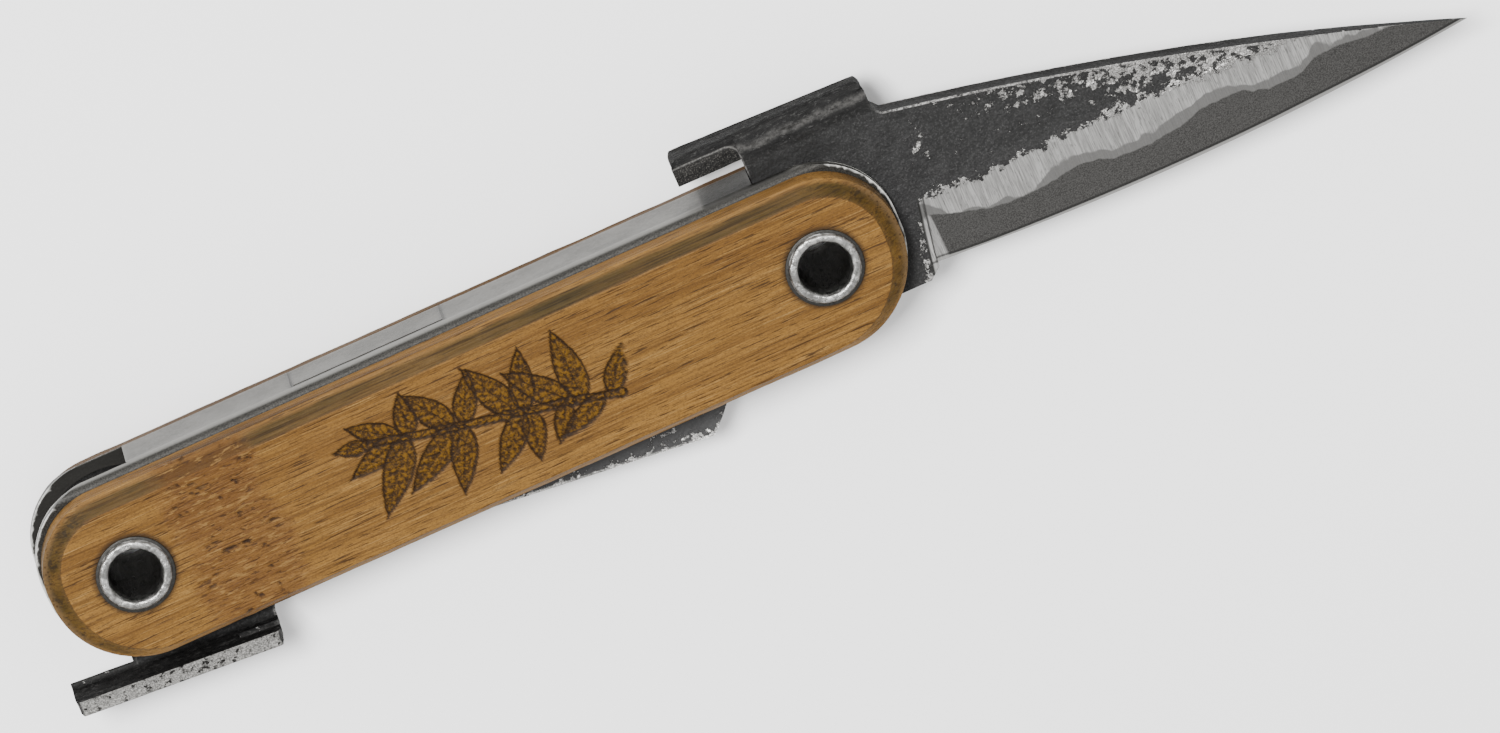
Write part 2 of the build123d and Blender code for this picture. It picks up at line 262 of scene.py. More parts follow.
class ForgedLook(Look):
    """Forge-black flats, ground bright cladding and the grey core steel below a wavy line.

    Every line is (x, y) points in the blade's own frame. The plunge is (x, y, slant). The lever is
    (y of its root, depth of its free edge, x of the notch behind the tang, y of the overhang's top).
    """

    def __init__(self, name, own_frame, spine_line, ground_line, core_line, edge_line, plunge,
                 lever, worn_from, spine_wear, wear_reach, thin_scale_and_light):
        super().__init__(name, own_frame)
        self.lever_root, self.free_edge, self.notch_x, self.overhang_top = lever
        self.fine = self.noise(2.4, detail=5.0, roughness=0.65)
        self.coarse = self.noise(0.45, detail=4.0, shift=7.0)
        self.speckle = self.noise(7.0, detail=2.0, shift=13.0)
        self.flat = self.step(self.size(self.facing(ACROSS)), 0.3, 0.6)
        self.find_ground(ground_line, plunge)
        self.find_core(core_line, edge_line)
        self.find_flecks(spine_line, worn_from, spine_wear, wear_reach)
        # thin scale towards the point, partly painted light on the detail blade's shaded strip
        self.thinned_and_lit = self.times(self.forward, thin_scale_and_light)

    def find_ground(self, ground_line, plunge):
        """Where the bevel has been ground, with a ragged upper limit."""
        plunge_x, plunge_y, slant = plunge
        shred = self.noise(0.95, detail=6.0, roughness=0.7, shift=21.0)
        ragged = self.times(self.minus(shred, 0.5), RAGGED_HEIGHT)
        top = self.plus(self.line(self.x, ground_line), ragged)
        self.into_ground = self.minus(top, self.y)
        self.below = self.step(self.into_ground, -0.06, 0.06)
        line_x = self.plus(self.times(self.minus(self.y, plunge_y), slant), plunge_x)
        self.past_plunge = self.minus(self.x, line_x)
        ahead = self.step(self.past_plunge, -0.1, 0.1)
        at_heel = self.fade(self.x, 20.0, 24.0)  # further on, the strip along the spine stays black
        self.ground = self.times(self.below, ahead, self.larger(self.flat, at_heel))

    def find_core(self, core_line, edge_line):
        """The core steel, below the lamination line and a little ahead of the plunge."""
        shift = self.minus(self.noise(0.6, detail=3.0, shift=3.0), 0.5)
        boundary = self.plus(self.line(self.x, core_line), self.times(shift, LAMINATION_WANDER))
        above_core = self.minus(self.y, boundary)
        begins = self.span(self.y, -6.5, -1.0, 2.1, 0.9)  # further ahead near the cutting edge
        beyond = self.step(self.minus(self.past_plunge, begins), -0.1, 0.2)
        self.core = self.times(self.fade(above_core, -0.1, 0.1), beyond, self.ground)
        wave = self.times(self.noise(0.22, detail=2.0, shift=17.0), BAND_WAVE)
        band = self.fade(self.minus(above_core, wave), -1.55, -1.25)
        self.low_band = self.times(band, self.step(above_core, -0.3, 0.0))
        from_edge = self.minus(self.y, self.line(self.x, edge_line))
        # the keen edge: honed steel with a painted highlight
        self.keen = self.times(self.fade(from_edge, 0.3, 0.4), self.ground)
        self.burr = self.times(self.step(from_edge, 0.36, 0.46), self.fade(from_edge, 0.56, 0.74))

    def find_flecks(self, spine_line, worn_from, spine_wear, wear_reach):
        """Silver flecks along edges, near the spine, beside the grinding and towards the point."""
        wear = self.painted("wear")
        from_spine = self.minus(self.line(self.x, spine_line), self.y)
        near_spine = self.fade(from_spine, 0.4, wear_reach)
        self.forward = self.step(self.x, worn_from, worn_from + WEAR_RUN)
        worn = self.times(near_spine, self.forward, spine_wear)
        to_point = self.step(self.x, worn_from + WEAR_RUN, worn_from + 30.0)
        worn = self.plus(worn, self.times(to_point, 0.55 * spine_wear))
        worn = self.minus(worn, self.times(self.inverse(self.forward), SPARED_HEEL))
        worn = self.plus(worn, self.times(wear, wear, WORN_EDGES))
        beside = self.times(self.step(self.past_plunge, -1.5, -0.5), self.fade(self.y, -2.0, 1.0))
        worn = self.plus(worn, self.times(beside, WORN_BY_PLUNGE))
        above = self.times(self.into_ground, -1.0)
        close = self.times(self.step(above, -0.1, 0.05), self.fade(above, 0.05, 0.6))
        close = self.times(close, self.step(self.past_plunge, 0.0, 3.0))
        worn = self.plus(worn, self.times(close, WORN_BY_GROUND))
        scab_x = self.times(self.minus(self.x, SCAB_MIDDLE[0]), 1.1)
        scab_y = self.times(self.minus(self.y, SCAB_MIDDLE[1]), 0.6)
        in_scab = self.fade(self.length(scab_x, scab_y), 0.8, 2.0)
        worn = self.plus(worn, self.times(in_scab, WORN_SCAB))
        flake = self.noise(0.85, detail=8.0, roughness=0.74, shift=1.0)
        torn = self.plus(flake, worn)
        # painted shade in a ring round the flecks
        self.fleck_shade = self.times(self.step(torn, 0.56, 0.625), 0.35)
        spots = self.times(self.step(torn, 0.625, 0.655), self.flat)
        corner = self.times(self.step(wear, 0.4, 0.75), near_spine, self.step(self.x, 11.0, 15.0))
        corner = self.times(corner, self.flat, self.step(self.fine, 0.36, 0.52))
        self.fleck = self.larger(spots, corner)

    def forge_scale(self):
        """Black scale with dust, grain and worn silver, painted shade round the flecks and grey thin scale
        partly lifted by painted light.
        """
        colour = self.mix(self.step(self.coarse, 0.38, 0.64), FORGE_BLACK, FORGE_GREY)
        colour = self.coat(colour, 0.5, self.step(self.fine, 0.5, 0.72), FORGE_DUST)
        grains = self.noise(4.6, detail=3.0, roughness=0.7, shift=41.0)
        colour = self.coat(colour, 0.6, self.step(grains, 0.54, 0.66), FORGE_GRAIN)
        colour = self.coat(colour, 0.7, self.fade(grains, 0.34, 0.46), FORGE_HOLLOW)
        # grey thin scale, partly painted light
        colour = self.mix(self.thinned_and_lit, colour, FORGE_THIN_AND_LIT)
        # painted shade round the silver flecks
        colour = self.mix(self.fleck_shade, colour, FLECK_SHADE)
        silver = self.mix(self.step(self.speckle, 0.35, 0.65), SILVER_DULL, SILVER_BRIGHT)
        return self.mix(self.fleck, colour, silver)

    def lever_marks(self, colour):
        """Dragged and hammered marks along the lever's bend with painted glints and a painted crest
        highlight, painted shade between lever and handle, and its bright sheared edge.
        """
        self.drag = self.noise((0.3, 1.5, 1.5), detail=5.0, roughness=0.65, shift=8.0)
        self.hammer = self.noise((1.5, 3.4, 3.4), detail=5.0, roughness=0.7, shift=35.0)
        self.bend = self.step(self.y, self.lever_root, self.lever_root + 1.2)
        dragged = self.mix(self.step(self.drag, 0.44, 0.64), DRAGGED_DARK, DRAGGED_LIGHT)
        # hammer marks are dents in the bump; their lighter colour is painted glints
        dragged = self.coat(dragged, 0.7, self.step(self.hammer, 0.55, 0.64), HAMMERED_GLINT)
        # painted highlight along the crest of the lever's bend
        crest_y = self.plus(self.times(self.coarse, 1.2), self.lever_root + CREST_ABOVE_ROOT)
        crest_highlight = self.fade(self.size(self.minus(self.y, crest_y)), 0.1, 0.65)
        dragged = self.mix(self.times(crest_highlight, self.span(self.fine, 0.35, 0.6, 0.2, 0.9)), dragged, CREST_HIGHLIGHT)
        colour = self.coat(colour, 0.75, self.times(self.bend, self.inverse(self.fleck)), dragged)
        # painted shade on the tang in the gap between lever and handle
        gap_shade = self.times(self.step(self.y, 9.4, 10.6), self.fade(self.y, 11.4, 13.2))
        colour = self.coat(colour, 0.75, self.times(gap_shade, self.fade(self.x, 4.0, 9.0)), LEVER_GAP_SHADE)
        deep = self.times(self.z, -1.0)
        self.sheared = self.step(deep, self.free_edge - 0.22, self.free_edge - 0.08)
        gnawed = self.noise(1.3, detail=6.0, roughness=0.72, shift=27.0)
        chipped = self.mix(self.step(self.speckle, 0.32, 0.66), SHEARED_DULL, SHEARED_BRIGHT)
        chipped = self.mix(self.step(gnawed, 0.545, 0.6), chipped, SHEARED_GNAWED)
        return self.mix(self.times(self.sheared, self.step(self.y, 2.0, 4.0)), colour, chipped)

    def overhang_face(self, colour):
        """Painted shade with lighter pits on the overhang's face, below a painted highlight on a rim that
        turns down round the notch.
        """
        beyond = self.larger(self.plus(self.x, NOTCH_ROUNDING - self.notch_x), 0.0)
        over = self.larger(self.plus(self.y, NOTCH_ROUNDING - self.overhang_top), 0.0)
        off_rim = self.minus(self.length(beyond, over), NOTCH_ROUNDING)
        in_front = self.times(self.step(self.z, 0.3, 0.8), self.step(self.y, 11.0, 12.6))
        # painted shade on the overhang's face, with lighter pits
        recess_shade = self.mix(self.step(self.speckle, 0.5, 0.68), RECESS_SHADE, RECESS_LIGHT)
        colour = self.coat(colour, 0.75, self.times(self.fade(off_rim, -0.3, -0.05), in_front), recess_shade)
        # painted highlight along the rim above the notch
        self.rim = self.times(self.fade(self.size(off_rim), 0.03, 0.15), in_front,
                              self.span(self.fine, 0.38, 0.6, 0.15, 0.85))
        return self.mix(self.rim, colour, NOTCH_RIM_HIGHLIGHT)

    def ground_steel(self):
        """Cladding with grinding marks that run from the spine to the edge, and the core below it."""
        self.grind = self.noise((7.0, 0.3, 0.3), detail=4.0, roughness=0.65)
        streak = self.noise((1.3, 0.1, 0.1), detail=3.0, shift=5.0)
        tick = self.noise((8.0, 0.9, 0.9), detail=2.0, roughness=0.6, shift=31.0)
        clad = self.mix(self.step(self.grind, 0.36, 0.62), CLAD_GREY, CLAD_BRIGHT)
        clad = self.coat(clad, 0.3, self.step(streak, 0.45, 0.62), CLAD_STREAK)
        clad = self.coat(clad, 0.55, self.step(tick, 0.6, 0.66), CLAD_TICK)
        clad = self.coat(clad, 0.85, self.low_band, self.mix(self.speckle, BAND_DARK, BAND_LIGHT))
        hard = self.mix(self.step(self.speckle, 0.3, 0.7), CORE_DARK, CORE_LIGHT)
        hard = self.coat(hard, 0.25, self.step(self.coarse, 0.42, 0.65), CORE_CLOUD)
        colour = self.mix(self.core, clad, hard)
        off_line = self.size(self.minus(self.past_plunge, PLUNGE_LINE_AT))
        colour = self.coat(colour, 0.75, self.fade(off_line, 0.05, 0.18), PLUNGE_LINE)
        colour = self.coat(colour, 0.7, self.burr, BURR_DARK)
        # the keen edge is partly its honed bright steel, partly a painted highlight
        return self.coat(colour, 0.7, self.keen, KEEN_HIGHLIGHT)

    def made(self):
        scale = self.overhang_face(self.lever_marks(self.forge_scale()))
        colour = self.mix(self.ground, scale, self.ground_steel())
        groove = self.times(self.fade(self.size(self.past_plunge), 0.06, 0.26), self.below)
        colour = self.coat(colour, 0.8, groove, PLUNGE_GROOVE)

        fleck = self.larger(self.fleck, self.times(self.rim, 0.7))
        bare = self.larger(self.ground, fleck, self.times(self.sheared, 0.8))
        rough_scale = self.blend(fleck, self.span(self.fine, 0.3, 0.7, 0.66, 0.52), 0.4)
        rough_ground = self.blend(self.core, self.span(self.grind, 0.3, 0.7, 0.46, 0.34), 0.48)
        lump = self.plus(self.times(self.fine, 0.8), self.times(self.coarse, 1.4))
        lump = self.minus(lump, self.times(fleck, 0.45))
        lump = self.plus(lump, self.times(self.drag, self.bend, 1.6),
                         self.times(self.hammer, self.bend, 1.1))
        return self.finish(
            Base_Color=colour,
            Metallic=bare,
            Specular_IOR_Level=self.blend(self.flat, 0.04, self.blend(self.bend, 0.22, 0.12)),
            Roughness=self.blend(self.ground, rough_scale, rough_ground),
            Normal=self.bump(self.blend(self.ground, lump, self.times(self.grind, 0.1)), 0.14),
        )


BAMBOO_BROWN, BAMBOO_GOLD = (0.108, 0.051, 0.0098), (0.156, 0.0785, 0.017)
FIBRE_BROWN, FIBRE_PALE = (0.06, 0.0265, 0.005), (0.225, 0.132, 0.042)
BUNDLE_DARK, SPECK_BROWN = (0.02, 0.0085, 0.0022), (0.038, 0.0175, 0.004)
OLIVE, OLIVE_DARK = (0.029, 0.017, 0.001), (0.012, 0.0066, 0.0006)
BELLY_GOLD, LIP_BROWN = (0.16, 0.078, 0.01), (0.02, 0.011, 0.0032)
END_DARK, END_PALE, END_STAIN = (0.012, 0.0072, 0.0032), (0.06, 0.039, 0.019), (0.009, 0.0052, 0.0016)
SCAR_RED, SCAR_PIT = (0.07, 0.0275, 0.007), (0.008, 0.004, 0.0034)
SCAR_TORN, SCAR_SHADOW = (0.18, 0.102, 0.031), (0.023, 0.01, 0.004)
BURNT_BLACK, BURNT_AMBER = (0.014, 0.0056, 0.0004), (0.094, 0.0435, 0.0012)
BURNT_LINE = (0.008, 0.003, 0.0006)
HANDLED_PALE, WASHER_RING_SHADE = (0.17, 0.1, 0.034), (0.009, 0.0052, 0.0028)
REAR_EDGE = (0.036, 0.019, 0.008)


def bamboo_look(name):
    """Split bamboo: long fibres and dark bundle lines, a rough node scar and a darker bevel."""
    look = Look(name)
    level = look.size(look.z)
    across = look.noise((0.018, 0.5, 0.5), detail=3.0)
    fibre = look.noise((0.07, 3.6, 3.6), detail=6.0, roughness=0.68)
    dash = look.noise((0.24, 5.2, 5.2), detail=3.0, roughness=0.6, shift=4.0)
    pale = look.noise((0.13, 6.5, 6.5), detail=3.0, roughness=0.6, shift=15.0)
    speck = look.noise((4.0, 6.5, 6.5), detail=3.0, roughness=0.7, shift=2.0)
    colour = look.mix(look.step(across, 0.36, 0.64), BAMBOO_BROWN, BAMBOO_GOLD)
    colour = look.coat(colour, 0.75, look.step(fibre, 0.44, 0.64), FIBRE_BROWN)
    colour = look.coat(colour, 0.6, look.step(pale, 0.57, 0.68), FIBRE_PALE)
    colour = look.coat(colour, 0.88, look.step(dash, 0.572, 0.628), BUNDLE_DARK)
    colour = look.coat(colour, 0.45, look.step(speck, 0.42, 0.66), SPECK_BROWN)

    # the bevel darkens to olive under the show face; the narrow belly bevel is golden
    off_face = look.painted("bevel")
    slope = look.times(off_face, look.step(level, LAND_TOP, LAND_TOP + 0.3))
    cloudy = look.span(look.noise((0.09, 0.5, 0.5), detail=3.0, shift=12.0), 0.35, 0.65, 0.7, 1.0)
    from_middle = look.size(look.minus(look.x, HANDLE_MIDDLE))
    ends = look.step(from_middle, 40.0, 46.0)
    dark_side = look.larger(look.step(look.y, -6.0, 0.0), look.times(ends, 0.85))
    olive = look.mix(look.step(fibre, 0.4, 0.65), OLIVE, OLIVE_DARK)
    colour = look.mix(look.times(slope, cloudy, dark_side), colour, olive)
    colour = look.coat(colour, 0.55, look.times(off_face, look.inverse(dark_side)), BELLY_GOLD)
    lip = look.times(off_face, look.inverse(off_face), 4.0)
    colour = look.mix(look.times(lip, look.span(speck, 0.35, 0.65, 0.2, 0.8)), colour, LIP_BROWN)

    # cut end grain
    end = look.times(look.step(from_middle, 45.5, 49.4), look.fade(level, LAND_TOP + 0.05, 6.7))
    dots = look.step(look.pits(2.2), 0.16, 0.4)
    colour = look.coat(colour, 0.72, end, look.mix(dots, END_DARK, END_PALE))
    blotch = look.step(look.noise(1.1, detail=5.0, shift=23.0), 0.56, 0.66)
    colour = look.coat(colour, 0.7, look.times(blotch, slope, ends), END_STAIN)

    # node scar: redder, with torn strokes and a few dark pits
    scar = look.painted("scar")
    stroke = look.noise((0.55, 2.6, 2.6), detail=4.0, roughness=0.6, shift=9.0)
    under = look.noise((0.65, 2.8, 2.8), detail=4.0, roughness=0.6, shift=19.0)
    colour = look.coat(colour, 0.46, scar, SCAR_RED)
    colour = look.coat(colour, 0.6, look.times(look.step(stroke, 0.56, 0.64), scar), SCAR_TORN)
    colour = look.coat(colour, 0.75, look.times(look.step(under, 0.58, 0.65), scar), SCAR_SHADOW)
    colour = look.coat(colour, 0.85, look.painted("pit"), SCAR_PIT)

    # burnt engraving
    char = look.noise(2.2, detail=5.0, roughness=0.65, shift=6.0)
    burn = look.painted("burn")
    colour = look.coat(colour, 0.92, burn, look.mix(look.step(char, 0.4, 0.6), BURNT_BLACK, BURNT_AMBER))
    colour = look.coat(colour, 0.95, look.painted("outline"), BURNT_LINE)

    # handled edges are paler; painted shade darkens the wood round the washers, and the rear scale's spine
    # side is darker
    edge = look.times(look.painted("wear"), off_face, look.step(speck, 0.35, 0.6))
    colour = look.coat(colour, 0.2, edge, HANDLED_PALE)
    # painted shade on the wood round the washers
    colour = look.coat(colour, 0.75, look.painted("joint_shade"), WASHER_RING_SHADE)
    behind = look.step(look.times(look.z, -1.0), 3.0, 4.0)
    rear_side = look.times(behind, look.step(look.facing(UPWARD), 0.55, 0.85))
    colour = look.coat(colour, 0.75, rear_side, REAR_EDGE)
    relief = look.plus(fibre, look.times(dash, -0.7), look.times(look.minus(stroke, under), scar, 3.0),
                       look.times(char, burn, 1.6))
    return look.finish(
        Base_Color=colour,
        Roughness=look.span(fibre, 0.3, 0.7, 0.5, 0.66),
        Specular_IOR_Level=0.12,
        Normal=look.bump(relief, 0.075),
    )


SATIN_DARK, SATIN_LIGHT = (0.092, 0.09, 0.084), (0.125, 0.122, 0.114)
SATIN_DRAWN, SATIN_GRIT = (0.08, 0.078, 0.072), (0.2, 0.196, 0.184)
SATIN_BEND_HIGHLIGHT, SATIN_EDGE = (0.23, 0.226, 0.212), (0.52, 0.515, 0.49)
DINGY_AND_SHADE_DARK, DINGY_AND_SHADE_LIGHT = (0.005, 0.0047, 0.004), (0.026, 0.0245, 0.0215)
BAY_SHADE, CHANNEL_CREASE_SHADE = (0.006, 0.0056, 0.0048), (0.011, 0.01, 0.0082)
RUB_DARK, SPOT_DARK = (0.03, 0.029, 0.027), (0.042, 0.036, 0.028)


def channel_look(name):
    """Satin steel sheet with a painted highlight along the bend, grime with painted shade against the
    wood, painted shade inside, and dark where the tang has rubbed.
    """
    look = Look(name)
    fine = look.noise(3.0, detail=5.0, roughness=0.65)
    grit = look.noise(6.5, detail=3.0, roughness=0.7, shift=11.0)
    cloud = look.noise((0.2, 0.35, 0.35), detail=4.0, shift=2.0)
    drawn = look.noise((0.05, 5.0, 5.0), detail=4.0, shift=5.0)
    level = look.size(look.z)
    colour = look.mix(look.step(cloud, 0.35, 0.65), SATIN_DARK, SATIN_LIGHT)
    colour = look.coat(colour, 0.3, look.step(drawn, 0.45, 0.7), SATIN_DRAWN)
    colour = look.coat(colour, 0.25, look.step(grit, 0.42, 0.66), SATIN_GRIT)
    # painted highlight along the crest of the bend
    bend = look.times(look.step(look.z, 2.0, 2.6), look.fade(look.z, 2.9, 3.4))
    colour = look.coat(colour, 0.5, bend, SATIN_BEND_HIGHLIGHT)

    # the part of each wall that shows beside the wood is dark and gritty, partly grime and partly painted
    # shade, and the inside of the channel is painted shade
    drop = look.minus(SPINE, look.y)
    dingy_and_shade = look.mix(look.step(grit, 0.38, 0.62), DINGY_AND_SHADE_DARK, DINGY_AND_SHADE_LIGHT)
    shoulder = look.times(look.step(level, 2.8, 3.35), look.step(drop, 0.0, 0.25))
    colour = look.coat(colour, 0.9, shoulder, dingy_and_shade)
    colour = look.coat(colour, 0.85, look.step(level, WALL_FACE - 0.12, WALL_FACE - 0.02), dingy_and_shade)
    # painted shade inside the channel
    inside = look.times(look.fade(level, 2.72, 2.8), look.step(drop, 0.06, 0.16))
    colour = look.coat(colour, 0.92, inside, BAY_SHADE)

    # dark rub on the web beside the main tang
    rub = look.times(look.step(look.plus(look.x, fine), -9.2, -8.6), look.step(look.y, 10.0, 10.4))
    rub = look.times(rub, look.fade(look.x, 0.0, 2.0), look.span(cloud, 0.35, 0.65, 0.72, 0.94))
    colour = look.mix(rub, colour, RUB_DARK)
    spots = look.noise(0.9, detail=6.0, roughness=0.75, shift=8.0)
    colour = look.coat(colour, 0.5, look.step(spots, 0.64, 0.7), SPOT_DARK)
    edge = look.times(look.painted("wear"), look.step(drop, 0.5, 1.4))
    colour = look.mix(look.step(edge, 0.25, 0.8), colour, SATIN_EDGE)
    # painted shade along the sheet's inner corners
    colour = look.coat(colour, 0.85, look.painted("joint_shade"), CHANNEL_CREASE_SHADE)
    dark = look.larger(shoulder, inside)
    return look.finish(
        Base_Color=colour,
        Metallic=look.inverse(look.times(dark, 0.7)),
        Specular_IOR_Level=look.blend(dark, 0.5, 0.12),
        Roughness=look.blend(look.painted("wear"), look.span(fine, 0.3, 0.7, 0.54, 0.44), 0.36),
        Normal=look.bump(look.plus(fine, look.times(grit, 0.6)), 0.03),
    )


PLATE_DARK, PLATE_LIGHT = (0.045, 0.043, 0.039), (0.085, 0.083, 0.077)
RIB_DARK, RIB_BRIGHT = (0.055, 0.053, 0.049), (0.52, 0.513, 0.495)


def divider_look(name):
    """Mild steel plate with the ribs of its sheared edge left on."""
    look = Look(name)
    ribs = look.noise((3.4, 3.4, 0.12), detail=3.0, roughness=0.6)
    fine = look.noise(3.0, detail=5.0, shift=3.0)
    sheared = look.painted("wear")
    face = look.mix(look.step(fine, 0.35, 0.65), PLATE_DARK, PLATE_LIGHT)
    edge = look.mix(look.step(ribs, 0.38, 0.6), RIB_DARK, RIB_BRIGHT)
    return look.finish(
        Base_Color=look.mix(sheared, face, edge),
        Metallic=0.9,
        Roughness=look.blend(sheared, 0.5, 0.33),
        Normal=look.bump(look.blend(sheared, fine, look.times(ribs, 3.0)), 0.06),
    )


NICKEL_DULL, NICKEL_BRIGHT = (0.21, 0.207, 0.198), (0.45, 0.446, 0.43)
NICKEL_PIT, NICKEL_JOINT_SHADE = (0.05, 0.047, 0.041), (0.007, 0.0065, 0.0055)
BORE_DARK, BORE_LIGHT = (0.05, 0.0475, 0.044), (0.12, 0.114, 0.106)


def eyelet_look(name):
    """Nickel-bright tube with a worn, pitted flange with painted shade at its edge on the wood, and a
    tarnished bore that darkens with depth as painted shade.
    """
    look = Look(name)
    fine = look.noise(2.6, detail=5.0, roughness=0.7)
    marks = look.noise(1.1, detail=5.0, roughness=0.7, shift=4.0)
    colour = look.mix(look.step(marks, 0.42, 0.62), NICKEL_DULL, NICKEL_BRIGHT)
    colour = look.coat(colour, 0.8, look.step(fine, 0.57, 0.66), NICKEL_PIT)
    # painted shade where the flange meets the wood
    colour = look.mix(look.painted("joint_shade"), colour, NICKEL_JOINT_SHADE)
    # tarnish in the bore, laid on more deeply as painted shade
    tarnish_and_shade = look.mix(look.step(fine, 0.36, 0.62), BORE_DARK, BORE_LIGHT)
    colour = look.mix(look.painted("bore"), colour, tarnish_and_shade)
    return look.finish(
        Base_Color=colour,
        Metallic=1.0,
        Roughness=look.span(fine, 0.3, 0.7, 0.22, 0.46),
        Normal=look.bump(look.plus(fine, marks), 0.07),
    )


WASHER_DARK, WASHER_LIGHT = (0.012, 0.0112, 0.01), (0.034, 0.033, 0.031)
WASHER_EDGE = (0.08, 0.078, 0.073)


def washer_look(name):
    """Oxidised steel for washers and spacer rings, brighter on their rubbed edges."""
    look = Look(name)
    fine = look.noise(2.8, detail=5.0, roughness=0.65)
    colour = look.mix(look.step(fine, 0.38, 0.64), WASHER_DARK, WASHER_LIGHT)
    colour = look.coat(colour, 0.3, look.painted("wear"), WASHER_EDGE)
    return look.finish(
        Base_Color=colour,
        Metallic=0.9,
        Roughness=look.span(fine, 0.3, 0.7, 0.52, 0.38),
        Normal=look.bump(fine, 0.03),
    )


# ---------- meshes
SHARP = math.radians(24)  # a sharper turn than this is an edge
SMOOTH = math.radians(38)  # a lesser turn than this is shaded smooth
FLAT_ENOUGH = math.radians(0.6)
SAME_PLACE = 1e-3
FAR_AWAY = Vector((1e6, 0, 0))


def clamp(value):
    return min(1.0, max(0.0, value))


def soft(value, low, high):
    """0 below low, 1 above high, smooth between."""
    t = clamp((value - low) / (high - low))
    return t * t * (3 - 2 * t)


def taken_from(node, own_frame=None):
    """An editable copy of a CAD node, in millimetres and in the piece's own frame."""
    bm = bmesh.new()
    bm.from_mesh(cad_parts[node].data)
    bm.transform(Matrix.Scale(1 / MM, 4))
    if own_frame is not None:
        bm.transform(own_frame.inverted())
    bmesh.ops.remove_doubles(bm, verts=bm.verts, dist=SAME_PLACE)
    bmesh.ops.dissolve_limit(bm, angle_limit=FLAT_ENOUGH, verts=bm.verts, edges=bm.edges)
    return bm


def sharp_edges(bm, convex=True):
    found = []
    for e in bm.edges:
        if len(e.link_faces) == 2 and e.calc_face_angle(0.0) > SHARP and e.is_convex == convex:
            found.append(e)
    return found


def points_along(edges, apart=0.2):
    """Points spread along edges, as a tree to measure distances to."""
    points = []
    for e in edges:
        a, b = e.verts[0].co, e.verts[1].co
        count = max(1, int((b - a).length / apart))
        points += [a.lerp(b, i / count) for i in range(count + 1)]
    tree = KDTree(max(1, len(points)))
    for i, p in enumerate(points or [FAR_AWAY]):
        tree.insert(p, i)
    tree.balance()
    return tree


def ease_edges(bm, width, keep=lambda edge: False):
    """Break the sharp convex edges with a small rounded bevel."""
    edges = [e for e in sharp_edges(bm) if not keep(e)]
    bmesh.ops.bevel(bm, geom=edges, offset=width, offset_type="OFFSET", segments=2, profile=0.5,
                    affect="EDGES", clamp_overlap=True, miter_outer="ARC")


def lattice(bm, axis, places, chosen=None):
    """Cut the mesh at each place along an axis, in rising order, so that its surface can be shaped."""
    normal = Vector([float(i == axis) for i in range(3)])
    ahead = [f for f in bm.faces if chosen is None or chosen(f)]
    for place in places:
        ahead = [f for f in ahead if max(v.co[axis] for v in f.verts) > place]
        crossing = [f for f in ahead if min(v.co[axis] for v in f.verts) < place]
        edges = {e for f in crossing for e in f.edges}
        verts = {v for f in crossing for v in f.verts}
        made = bmesh.ops.bisect_plane(bm, geom=list(verts) + list(edges) + crossing, dist=SAME_PLACE,
                                      plane_co=normal * float(place), plane_no=normal)["geom"]
        ahead = list(set(ahead) | {g for g in made if isinstance(g, bmesh.types.BMFace)})


def every(step, low, high):
    return np.arange(low + step / 2, high, step)


def banded(start, *bands):
    """Places at each band's own spacing, from the start through each band's end."""
    places = []
    for step, end in bands:
        places += [*every(step, start, end)]
        start = end
    return places


def near(tree, bm, reach):
    """For each vertex, 1 on the tree's points falling to 0 at reach."""
    return [max(0.0, 1.0 - tree.find(v.co)[2] / reach) for v in bm.verts]


def piece(node, bm, material, painted, body="handle", own_frame=None):
    """Make the visual piece that stands for a CAD node, with its painted shares."""
    name = f"{node}_visual"
    if own_frame is not None:
        bm.transform(own_frame)
    low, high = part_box(node)
    for v in bm.verts:
        v.co = [min(max(c, a / MM), b / MM) for c, a, b in zip(v.co, low, high)]
    mesh = bpy.data.meshes.new(name)
    bm.to_mesh(mesh)
    bm.free()
    for layer, values in painted.items():
        shares = mesh.attributes.new(layer, "FLOAT", "POINT")
        shares.data.foreach_set("value", np.asarray(values, np.float32))
    mesh.transform(Matrix.Scale(MM, 4))
    mesh.polygons.foreach_set("use_smooth", [True] * len(mesh.polygons))
    mesh.set_sharp_from_angle(angle=SMOOTH)
    mesh.materials.append(material)
    obj = bpy.data.objects.new(name, mesh)
    bpy.context.scene.collection.objects.link(obj)
    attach(obj, body)
    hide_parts(node)


def rough(co, size, seed):
    """Soft noise from 0 to 1 with features of a given size."""
    return 0.5 + 0.5 * noise.fractal(co / size + Vector((seed, seed, seed)), 1.0, 2.0, 3)


def hollow(bm, depth, size, seed, strength=lambda v: 1.0):
    """Press the surface in by up to depth, unevenly, never out."""
    bm.normal_update()
    moves = [v.normal * (-depth * strength(v) * clamp(rough(v.co, size, seed))) for v in bm.verts]
    for v, move in zip(bm.verts, moves):
        v.co += move


# ---------- blades
BLADE_EDGES = 0.22  # width of the eased edges
BLADE_CUTS = 0.45  # spacing of the cuts that let the faces be shaped
BLADE_CUTS_ACROSS = 0.7
PLUNGE_REACH = 4.0  # how far from the plunge its slant pulls the mesh
LEVER_END_ROUNDING = 1.0
LEVER_END_CUTS = (0.08, 0.3, 0.6)  # extra cuts near the lever's ends and outer face
RIM_KEPT = 4.2  # no dents this near the pivot
DENTS_GROW = 2.0  # length over which dents set in
CORNER_DENTS, CORNER_REACH = 0.15, 1.4  # share of dents left on corners, and how far it matters

# the detail blade's own frame: x along the blade, y to its spine, z away from the divider
turn = DETAIL_REST_ANGLE
detail_frame = Matrix((
    (math.cos(turn), -math.sin(turn), 0, PIVOTS["detail"]),
    (-math.sin(turn), -math.cos(turn), 0, 0),
    (0, 0, -1, 0),
    (0, 0, 0, 1),
))


